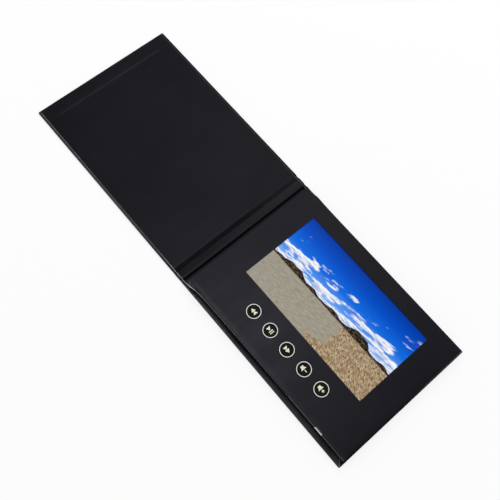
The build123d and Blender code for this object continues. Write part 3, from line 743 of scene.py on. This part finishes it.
def landscape_finish():
    """Dark glass lit from behind by a landscape."""
    glass = new_finish("panel_glass")
    x, y, _ = glass.axes()
    up = (y - window_low.y) / window_size.y
    across = (x - window_low.x) / window_size.y     # in the picture's heights
    horizon = 0.42                                  # of the picture's height

    def at(u, v):
        """A place in the picture as a noise vector."""
        return glass.node("CombineXYZ", {}, {0: u, 1: v})

    # sky: deep blue above, pale at the horizon, with heaped clouds banked low down
    height = (up - horizon) / (1 - horizon)
    sky = glass.node("ValToRGB", {"stops": (
        (0.0, colour(176, 208, 250)), (1.0, colour(0, 56, 160)),
        (0.12, colour(96, 160, 244)), (0.4, colour(16, 108, 226)),
        (0.72, colour(0, 78, 198)))}, {0: height})
    closer = 1.0 / (height + 0.55)
    drift = at(across * closer * 3.1 + 4.3, closer * 4.6)
    lifted = at(across * closer * 3.1 + 4.3, closer * 4.6 - 0.16)
    heap = glass.noise(1.0, 8, drift, roughness=0.58)
    above = glass.noise(1.0, 8, lifted, roughness=0.58)
    cover = glass.range(height, 0.0, 0.95, 0.43, 0.64)
    cloud = glass.range(heap - cover, 0.0, 0.09)
    lit = glass.range(heap - above, -0.09, 0.06)
    white = glass.mix(lit, colour(158, 178, 222), colour(252, 253, 255))
    sky = glass.mix(cloud, sky, white)

    # two low hills
    rise = glass.noise(1.0, 2, at(across * 1.9 + 0.9, 0.4))
    edge = horizon + glass.range(rise, 0.42, 0.66, -0.004, 0.085)
    edge = edge + glass.noise(1.0, 4, at(across * 30, 0.4)) * 0.014
    scrub = glass.noise(1.0, 6, at(across * 26, up * 48), roughness=0.7)
    hills = glass.mix(glass.range(scrub, 0.45, 0.66), colour(20, 14, 10), colour(114, 95, 76))

    # ground: a pale dune, and dry grass from the right
    bend = glass.noise(1.0, 3, at(across * 1.3 + 5, up * 1.8))
    fringe = glass.noise(1.0, 4, at(across * 22, up * 34), roughness=0.7)
    parting = across - 1.22 + (horizon - up) * 0.9 + (bend - 0.5) * 0.8 + (fringe - 0.5) * 0.3
    ripples = glass.noise(1.0, 4, at(across * 16 + bend * 5, up * 70 - across * 14))
    grain = glass.noise(1.0, 4, at(across * 150, up * 150), roughness=0.7)
    sand = glass.mix(glass.range(ripples, 0.3, 0.7),
                     colour(147, 142, 127), colour(174, 168, 152))
    sand = glass.mix(glass.range(grain, 0.35, 0.8, 0, 0.35), sand, colour(134, 128, 112))
    stalks = glass.noise(1.0, 6, at(across * 52 + up * 26, up * 30), roughness=0.8)
    tufts = glass.noise(1.0, 4, at(across * 10, up * 24))
    grass = glass.mix(glass.range(stalks, 0.36, 0.62),
                      colour(80, 62, 42), colour(214, 190, 156))
    grass = glass.mix(glass.range(tufts, 0.42, 0.7, 0, 0.6), grass, colour(138, 104, 62))
    ground = glass.mix(glass.range(parting, -0.015, 0.02), sand, grass)
    ground = glass.mix(glass.range(horizon - 0.012 - up, 0.0, 0.012), hills, ground)
    picture = glass.mix(up < edge, sky, ground)

    smears = glass.noise(30, 4)
    return glass.shader(Base_Color=colour(4, 4, 5), Emission_Color=picture,
                        Emission_Strength=0.96, Specular_IOR_Level=0.03,
                        Roughness=glass.range(smears, 0.3, 0.8, 0.12, 0.2))


dress(landscape_finish(), "panel_glass")
dress(white_plastic, "panel_backlight")
dress(single_grain("panel_tape", 800, 3, colour(12, 12, 13), colour(26, 26, 28),
                   0.5, 0.7, 0.02 * mm), "panel_tape")

# ------------------------------------------------------------------------ circuit boards
# Green lacquered boards carry the processor, the memory, small parts and, under the
# keys, five tact switches. Amber ribbons with copper lines join them.


def circuit_finish():
    """Green lacquer over winding copper tracks."""
    lacquer = new_finish("circuit_board")
    lines = lacquer.node("TexWave", {"wave_type": "BANDS", "bands_direction": "DIAGONAL"},
                         {"Scale": 260.0, "Distortion": 9.0, "Detail": 1.0})
    copper = lacquer.range(lines, 0.62, 0.7)
    shade = lacquer.mix(copper, colour(12, 62, 34), colour(30, 102, 58))
    return lacquer.shader(Base_Color=shade, Roughness=lacquer.range(lines, 0, 1, 0.3, 0.4),
                          Normal=lacquer.bump(copper, 0.03 * mm))


def ribbon_finish():
    """Amber film with straight copper lines."""
    film = new_finish("ribbon_film")
    bands = film.node("TexWave", {"wave_type": "BANDS", "bands_direction": "X"},
                      {"Scale": 320.0, "Distortion": 0.0})
    shade = film.mix(film.range(bands, 0.4, 0.6), colour(122, 66, 18), colour(196, 132, 58))
    return film.shader(Base_Color=shade, Roughness=film.range(bands, 0, 1, 0.25, 0.4),
                       Normal=film.bump(bands, 0.01 * mm))


dress(circuit_finish(), "main_board", "key_board")
dress(ribbon_finish(), "panel_ribbon", "key_ribbon")
dress(moulded_plastic("chip_plastic", colour(24, 24, 25), colour(34, 34, 36), 0.5),
      "processor", "memory_chip", "small_components", "usb_tongue")
switch_steel = metal("switch_steel", colour(204, 204, 202), 0.28)
dress(switch_steel, "tact_switches")

# ------------------------------------------------------------------------ data socket
# A folded steel shell whose flared mouth shows as a bright sliver in the face's notch.
# Its rim is polished by plugs, and the rest is dull from the stamping.
usb_low, usb_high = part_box("usb_shell")


def socket_finish():
    """Specked steel with a bright rim."""
    steel = new_finish("socket_steel")
    y = steel.axes()[1]
    lines = steel.noise(900, 3, stretch=(1, 0.15, 1))
    rim = steel.range(y, usb_low.y + 0.15 * mm, usb_low.y + 0.4 * mm, 1, 0)
    specks = steel.range(steel.noise(1500, 3), 0.4, 0.6)
    dull = steel.mix(specks, colour(40, 40, 44), colour(120, 119, 122))
    return steel.shader(Base_Color=steel.mix(rim, dull, colour(226, 225, 228)), Metallic=1.0,
                        Roughness=steel.range(lines, 0.2, 0.8, 0.3, 0.5),
                        Normal=steel.bump(lines, 0.03 * mm))


dress(socket_finish(), "usb_shell")

# ------------------------------------------------------------------------ reed switch
# A glass capsule with two wires, laid in the foam. When the book is shut, the front
# cover's magnet works it through the card and the player turns off.


def reed_finish():
    """Greenish glass."""
    capsule = new_finish("reed_glass")
    tint = capsule.noise(160, 3)
    shade = capsule.mix(tint, colour(140, 172, 158), colour(186, 206, 196))
    return capsule.shader(Base_Color=shade,
                          Roughness=capsule.range(tint, 0.2, 0.8, 0.05, 0.12))


dress(reed_finish(), "reed_switch")
dress(switch_steel, "reed_leads")

# ------------------------------------------------------------------------ face sheet
# The liner's other half: from the back fold over the cover, up the block's side and
# over its face. It has the window, the key holes and the socket's notch punched out.
block_end, _, face_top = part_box("face_sheet")[1]
wall_low, wall_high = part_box("block_wall")
block_start = wall_low.x - sheet_thickness
near_edge = wall_low.y
far_edge = wall_high.y
ramp_end = block_start - 0.1 * mm   # where the ramp's lining stops at the block's wall
face_rim = 0.28 * mm            # the face's own knife-cut rim, at the socket's end
top_bend = 0.45 * mm
bend_support = 1.6 * top_bend   # cuts this far from the bend keep the shading flat
droop_reach = 7.5 * mm          # of the face's edges, where the card is pressed down
droop = 0.3                     # in millimetres
ripple = 0.012                  # beside the notch, in millimetres
ripple_turn = 2900              # radians for each metre across the ripples
flap_end = 150 * mm             # where the sheet's edges meet the block's edges


def distance(finish, x, y, spot):
    """How far a place lies from a spot, in plan."""
    flat = finish.node("CombineXYZ", {}, {0: x, 1: y})
    return finish.node("VectorMath", {"operation": "DISTANCE"}, {0: flat, 1: spot}, 1)


def pressed_edges(paper, x, y, z):
    """The face's rim bends down, and the punched notch leaves fine ripples beside it."""
    depth = (near_edge + droop_reach - y) / droop_reach
    depth = depth.larger((y - far_edge + droop_reach) / droop_reach * 0.7)
    depth = depth.larger((x - block_end + droop_reach) / droop_reach * 0.8).larger(0.0)
    notch = ((usb_low.x + usb_high.x) / 2, near_edge + 4 * mm, 0)
    close = paper.range(distance(paper, x, y, notch), 3 * mm, 12 * mm, 1, 0)
    turn = (x * 0.35 + y) * ripple_turn
    wave = turn.math("SINE", turn)
    return (depth ** 3.0 * -droop + wave * close * ripple) * (z > face_top - mm)


def painted_edge_sheen(paper, x, y, z):
    """A painted sheen along the near edge, strongest towards the hinge."""
    band = paper.range(y, near_edge + 1.1 * mm, near_edge + 5.5 * mm, 1, 0)
    band = band * paper.range(y, near_edge, near_edge + 0.8 * mm, 0.2, 1)
    along = paper.range(x, 8 * mm, 25 * mm) * paper.range(x, 50 * mm, 200 * mm, 1.2, 0.3)
    patchy = paper.range(paper.noise(260, 4, stretch=(0.5, 1, 1)), 0.3, 0.7, 0.5, 1.1)
    return band * along * patchy * 0.12


# the face: a painted sheen along its near edge
face_paper = black_paper("face_paper", 0.36, painted_edge_sheen, pressed_edges)

# the ramp out of the groove, cut back at both corners along the flaps' creases
flap_foot = block_start - 2.2 * mm
back_ramp = liner_sheet([*ramp, flap_foot, ramp_end])
for side, edge_y in ((-1, near_edge), (1, far_edge)):
    crease = Vector((block_start - flap_foot, edge_y - side * liner_half, 0))
    split(back_ramp, (block_start, edge_y, 0), (-side * crease.y, side * crease.x, 0),
          clear_outer=True)
piece = put("back_ramp_lining", lay(back_ramp), liner_paper, cut_edge)
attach(piece, "back_cover")

# the rest of the sheet is its CAD solid from the block's wall on, with a soft top edge
face = bmesh.new()
face.from_mesh(node["face_sheet"].data)
bmesh.ops.remove_doubles(face, verts=face.verts, dist=10 * hair)
bmesh.ops.dissolve_limit(face, angle_limit=math.radians(0.5), verts=face.verts,
                         edges=face.edges)
split(face, (ramp_end, 0, 0), (1, 0, 0), clear_inner=True)
bmesh.ops.holes_fill(face, edges=[edge for edge in face.edges if edge.is_boundary], sides=0)
round_off(face, [edge for edge in face.edges
                 if lies_at(edge, 0, block_start) and lies_at(edge, 2, face_top)], top_bend, 4)


def on_top(part):
    """Whether a face lies on the block's top."""
    return lies_at(part, 2, face_top)


cut(face, 0, flap_end, on_top)
cut(face, 0, block_start + bend_support, on_top)
cut(face, 2, face_top - bend_support, lambda part: lies_at(part, 0, block_start))
cut(face, 1, near_edge + face_rim,
    lambda part: on_top(part) and part.calc_center_median().x > flap_end)
for part in face.faces:
    middle = part.calc_center_median()
    if (middle.z > face_top - 1.5 * sheet_thickness and middle.x > flap_end
            and middle.y < near_edge + face_rim):
        part.material_index = 1
piece = put("block_face_paper", face, face_paper, cut_edge)
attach(piece, "back_cover")
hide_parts("face_sheet")

# The sheet is wider than the block at the hinge and runs out to the block's width, so
# its free edge climbs past the block's corner and stands out over the sides.
corner_run = 8.5 * mm           # of the free edge, while the block's corner rises
corner_rise = 4.6 * mm          # and how far it climbs there
climb_run = 17 * mm             # beyond the corner, to the top
ear_length = 9 * mm             # of the part that stands out most
corner_steps = 10
climb_steps = 14                # and as many again from there to the flap's end
flap_rows = (0.3, 0.6, 0.82, 1)     # across the flap: the last is its cut rim


def overhang(x, most):
    """How far the free edge stands out from the block's side."""
    tail = (flap_end - x) / (flap_end - block_start)
    ear = math.exp((block_start - x) / ear_length)
    return most * min(1, 0.42 * tail + 1.3 * ear) + 0.05 * mm


def side_flap(side, edge_y, most):
    """The strip between the block's edge and the sheet's own free edge."""
    maker = bmesh.new()
    foot = cover_top + sheet_thickness
    inner, outer = [], []
    for share in stations(0, 1, corner_steps):
        inner.append(Vector((block_start, edge_y, foot + share * (face_top - top_bend - foot))))
        outer.append(Vector((flap_foot + share * corner_run, side * liner_half,
                             foot + share * corner_rise)))
    turn = outer[-1]
    for x in (*stations(block_start + top_bend, block_start + climb_run, climb_steps),
              *stations(block_start + climb_run + 5 * mm, flap_end, climb_steps)):
        climbed = ease(0.1 + 0.95 * (x - block_start) / climb_run)
        here = max(x, turn.x + (x - block_start) * 0.62)
        reach = min(liner_half, abs(edge_y) + overhang(here, most))
        inner.append(Vector((x, edge_y, face_top)))
        outer.append(Vector((here, side * reach, turn.z + climbed * (face_top - turn.z))))
    row = [maker.verts.new(place) for place in inner]
    for pair in zip(row, row[1:]):
        maker.edges.new(pair)
    for share in flap_rows:
        row = draw_out(maker, row)
        for corner, start, end in zip(row, inner, outer):
            corner.co = start.lerp(end, share)
    for part in {part for corner in row for part in corner.link_faces}:
        part.material_index = 1
    thicken(maker, maker.faces)
    return maker


def painted_flap_highlight(paper, x, y, z):
    """A painted highlight where the sheet's corner is creased and twisted by the block."""
    patchy = paper.range(paper.noise(500, 4), 0.35, 0.65, 0.3, 1)
    crease = paper.line(x - block_start - 4 * mm, 3 * mm, 10 * mm)
    rising = paper.range(z, cover_top + mm, cover_top + 3 * mm)
    return crease * rising * patchy * 0.34


# the flaps: a painted highlight on the twisted corner
flap_paper = black_paper("flap_paper", 0.4, painted_flap_highlight)
for name, side, edge_y, most in (("near", -1, near_edge, 2.9 * mm),
                                 ("far", 1, far_edge, 2.1 * mm)):
    piece = put(f"{name}_flap", side_flap(side, edge_y, most), flap_paper, cut_edge)
    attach(piece, "back_cover")

# ------------------------------------------------------------------------ keys
# Five round plastic caps, each held under the face card by its flange and pressing a
# tact switch. A pale ring and symbol are printed on each cap.
key_names = ("rewind", "play", "forward", "quieter", "louder")
symbol_reach = 5.5 * mm         # from a key's centre: the ring lies beyond it


def legend_finish(name, centre):
    """The ring is printed in warm grey, and the symbol inside it in pale yellow."""
    ink = new_finish(f"{name}_print")
    x, y, _ = ink.axes()
    out = distance(ink, x, y, (centre.x, centre.y, 0))
    grain = ink.noise(1600, 3)
    ring = ink.mix(grain, colour(232, 230, 228), colour(248, 246, 245))
    symbol = ink.mix(grain, colour(232, 236, 202), colour(248, 250, 224))
    return ink.shader(Base_Color=ink.mix(out > symbol_reach, symbol, ring),
                      Roughness=ink.range(grain, 0.2, 0.8, 0.4, 0.5),
                      Specular_IOR_Level=0.2)


def cap_finish():
    """Warm black plastic with a fine grain."""
    cap = new_finish("key_plastic")
    grain = cap.noise(2400, 2)
    bloom = cap.noise(260, 3)
    return cap.shader(Base_Color=cap.mix(bloom, colour(9, 9, 4), colour(16, 16, 8)),
                      Roughness=cap.range(grain, 0.2, 0.8, 0.5, 0.6), Specular_IOR_Level=0.08,
                      Normal=cap.bump(grain, 0.01 * mm))


key_plastic = cap_finish()
for name in key_names:
    low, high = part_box(f"{name}_key")
    dress(key_plastic, f"{name}_key")
    dress(legend_finish(name, (low + high) / 2), f"{name}_legend")
    dress(white_plastic, f"{name}_plunger")

# ------------------------------------------------------------------------ table and light
# A white table top in a white surround. A soft lamp hangs where the black film gives
# back a wide, faint sheen over the block's near edge, with a weak soft box behind it.


def white_to_the_eye(finish, lit, seen):
    """One look for light on the object, and a whiter one where rays see the backdrop."""
    path = [finish.node("LightPath", {}, {}, f"Is {kind} Ray")
            for kind in ("Camera", "Glossy", "Transmission")]
    looking = path[0].larger(path[1]).larger(path[2])
    return finish.node("MixShader", {}, {0: looking, 1: lit, 2: seen})


top = new_finish("white_table")
x, y, _ = top.axes()
grain = top.range(top.noise(3), 0, 1, 0.9, 1)
matt = top.node("BsdfDiffuse", {}, {0: (0.9, 0.9, 0.9, 1), 1: grain})
# seen directly, it glows to white and holds back the shadow, which still shows
held_back = top.node("BsdfDiffuse", {}, {0: (0.4, 0.4, 0.4, 1), 1: grain})
away = distance(top, x, y, (0, 0, 0))
glow = top.node("Emission", {}, {0: (1, 1, 1, 1), 1: top.range(away, 0.3, 1.2, 0.71, 1)})
seen_top = top.node("AddShader", {}, {0: held_back, 1: glow})
top.node("OutputMaterial", {}, {0: white_to_the_eye(top, matt, seen_top)})
table = put("table", box_maker((-3, -3, -0.02), (3, 3, 0)), top.owner)

world = bpy.data.worlds.new("surround")
bpy.context.scene.world = world
surround = Finish(world)
even = surround.node("Background", {}, {0: (1, 1, 1, 1), 1: 0.42})
white = surround.node("Background", {}, {0: (1, 1, 1, 1), 1: 1.0})
camera_sees = surround.node("LightPath", {}, {}, "Is Camera Ray")
surround.node("OutputWorld", {}, {0: surround.node("MixShader", {},
                                                  {0: camera_sees, 1: even, 2: white})})

for name, place, length, width, watts in (
        ("soft_lamp", (-0.12, 0.1, 1.57), 0.55, 0.55, 6.6),
        ("far_soft_box", (-0.28, 0.74, 1.2), 1.8, 0.6, 5.2)):
    lamp = bpy.data.lights.new(name, "AREA")
    lamp.shape = "ELLIPSE"
    lamp.size = length
    lamp.size_y = width
    lamp.energy = watts
    soft = bpy.data.objects.new(name, lamp)
    soft.location = place
    soft.rotation_euler = Vector(place).to_track_quat("Z", "Y").to_euler()
    bpy.context.scene.collection.objects.link(soft)

# ------------------------------------------------------------------------ camera
# From above the near side, turned so that the book runs down to the right. Its place,
# its aim and its lens were fitted to the straight edges in the photograph.
camera_data = bpy.data.cameras.new("camera")
camera_data.sensor_width = 36
camera_data.lens = 48.364
camera = bpy.data.objects.new("camera", camera_data)
bpy.context.scene.collection.objects.link(camera)
camera.location = (0.164048, -0.177556, 0.604237)
right = Vector((0.64844, 0.75881, 0.0611)).normalized()
forward = Vector((-0.21969, 0.26338, -0.93934)).normalized()
turn = camera.matrix_world.to_3x3()
turn.col[0] = right
turn.col[1] = right.cross(forward)
turn.col[2] = -forward
camera.rotation_euler = turn.to_euler()
bpy.context.scene.camera = camera

bpy.context.scene.view_settings.view_transform = "Standard"
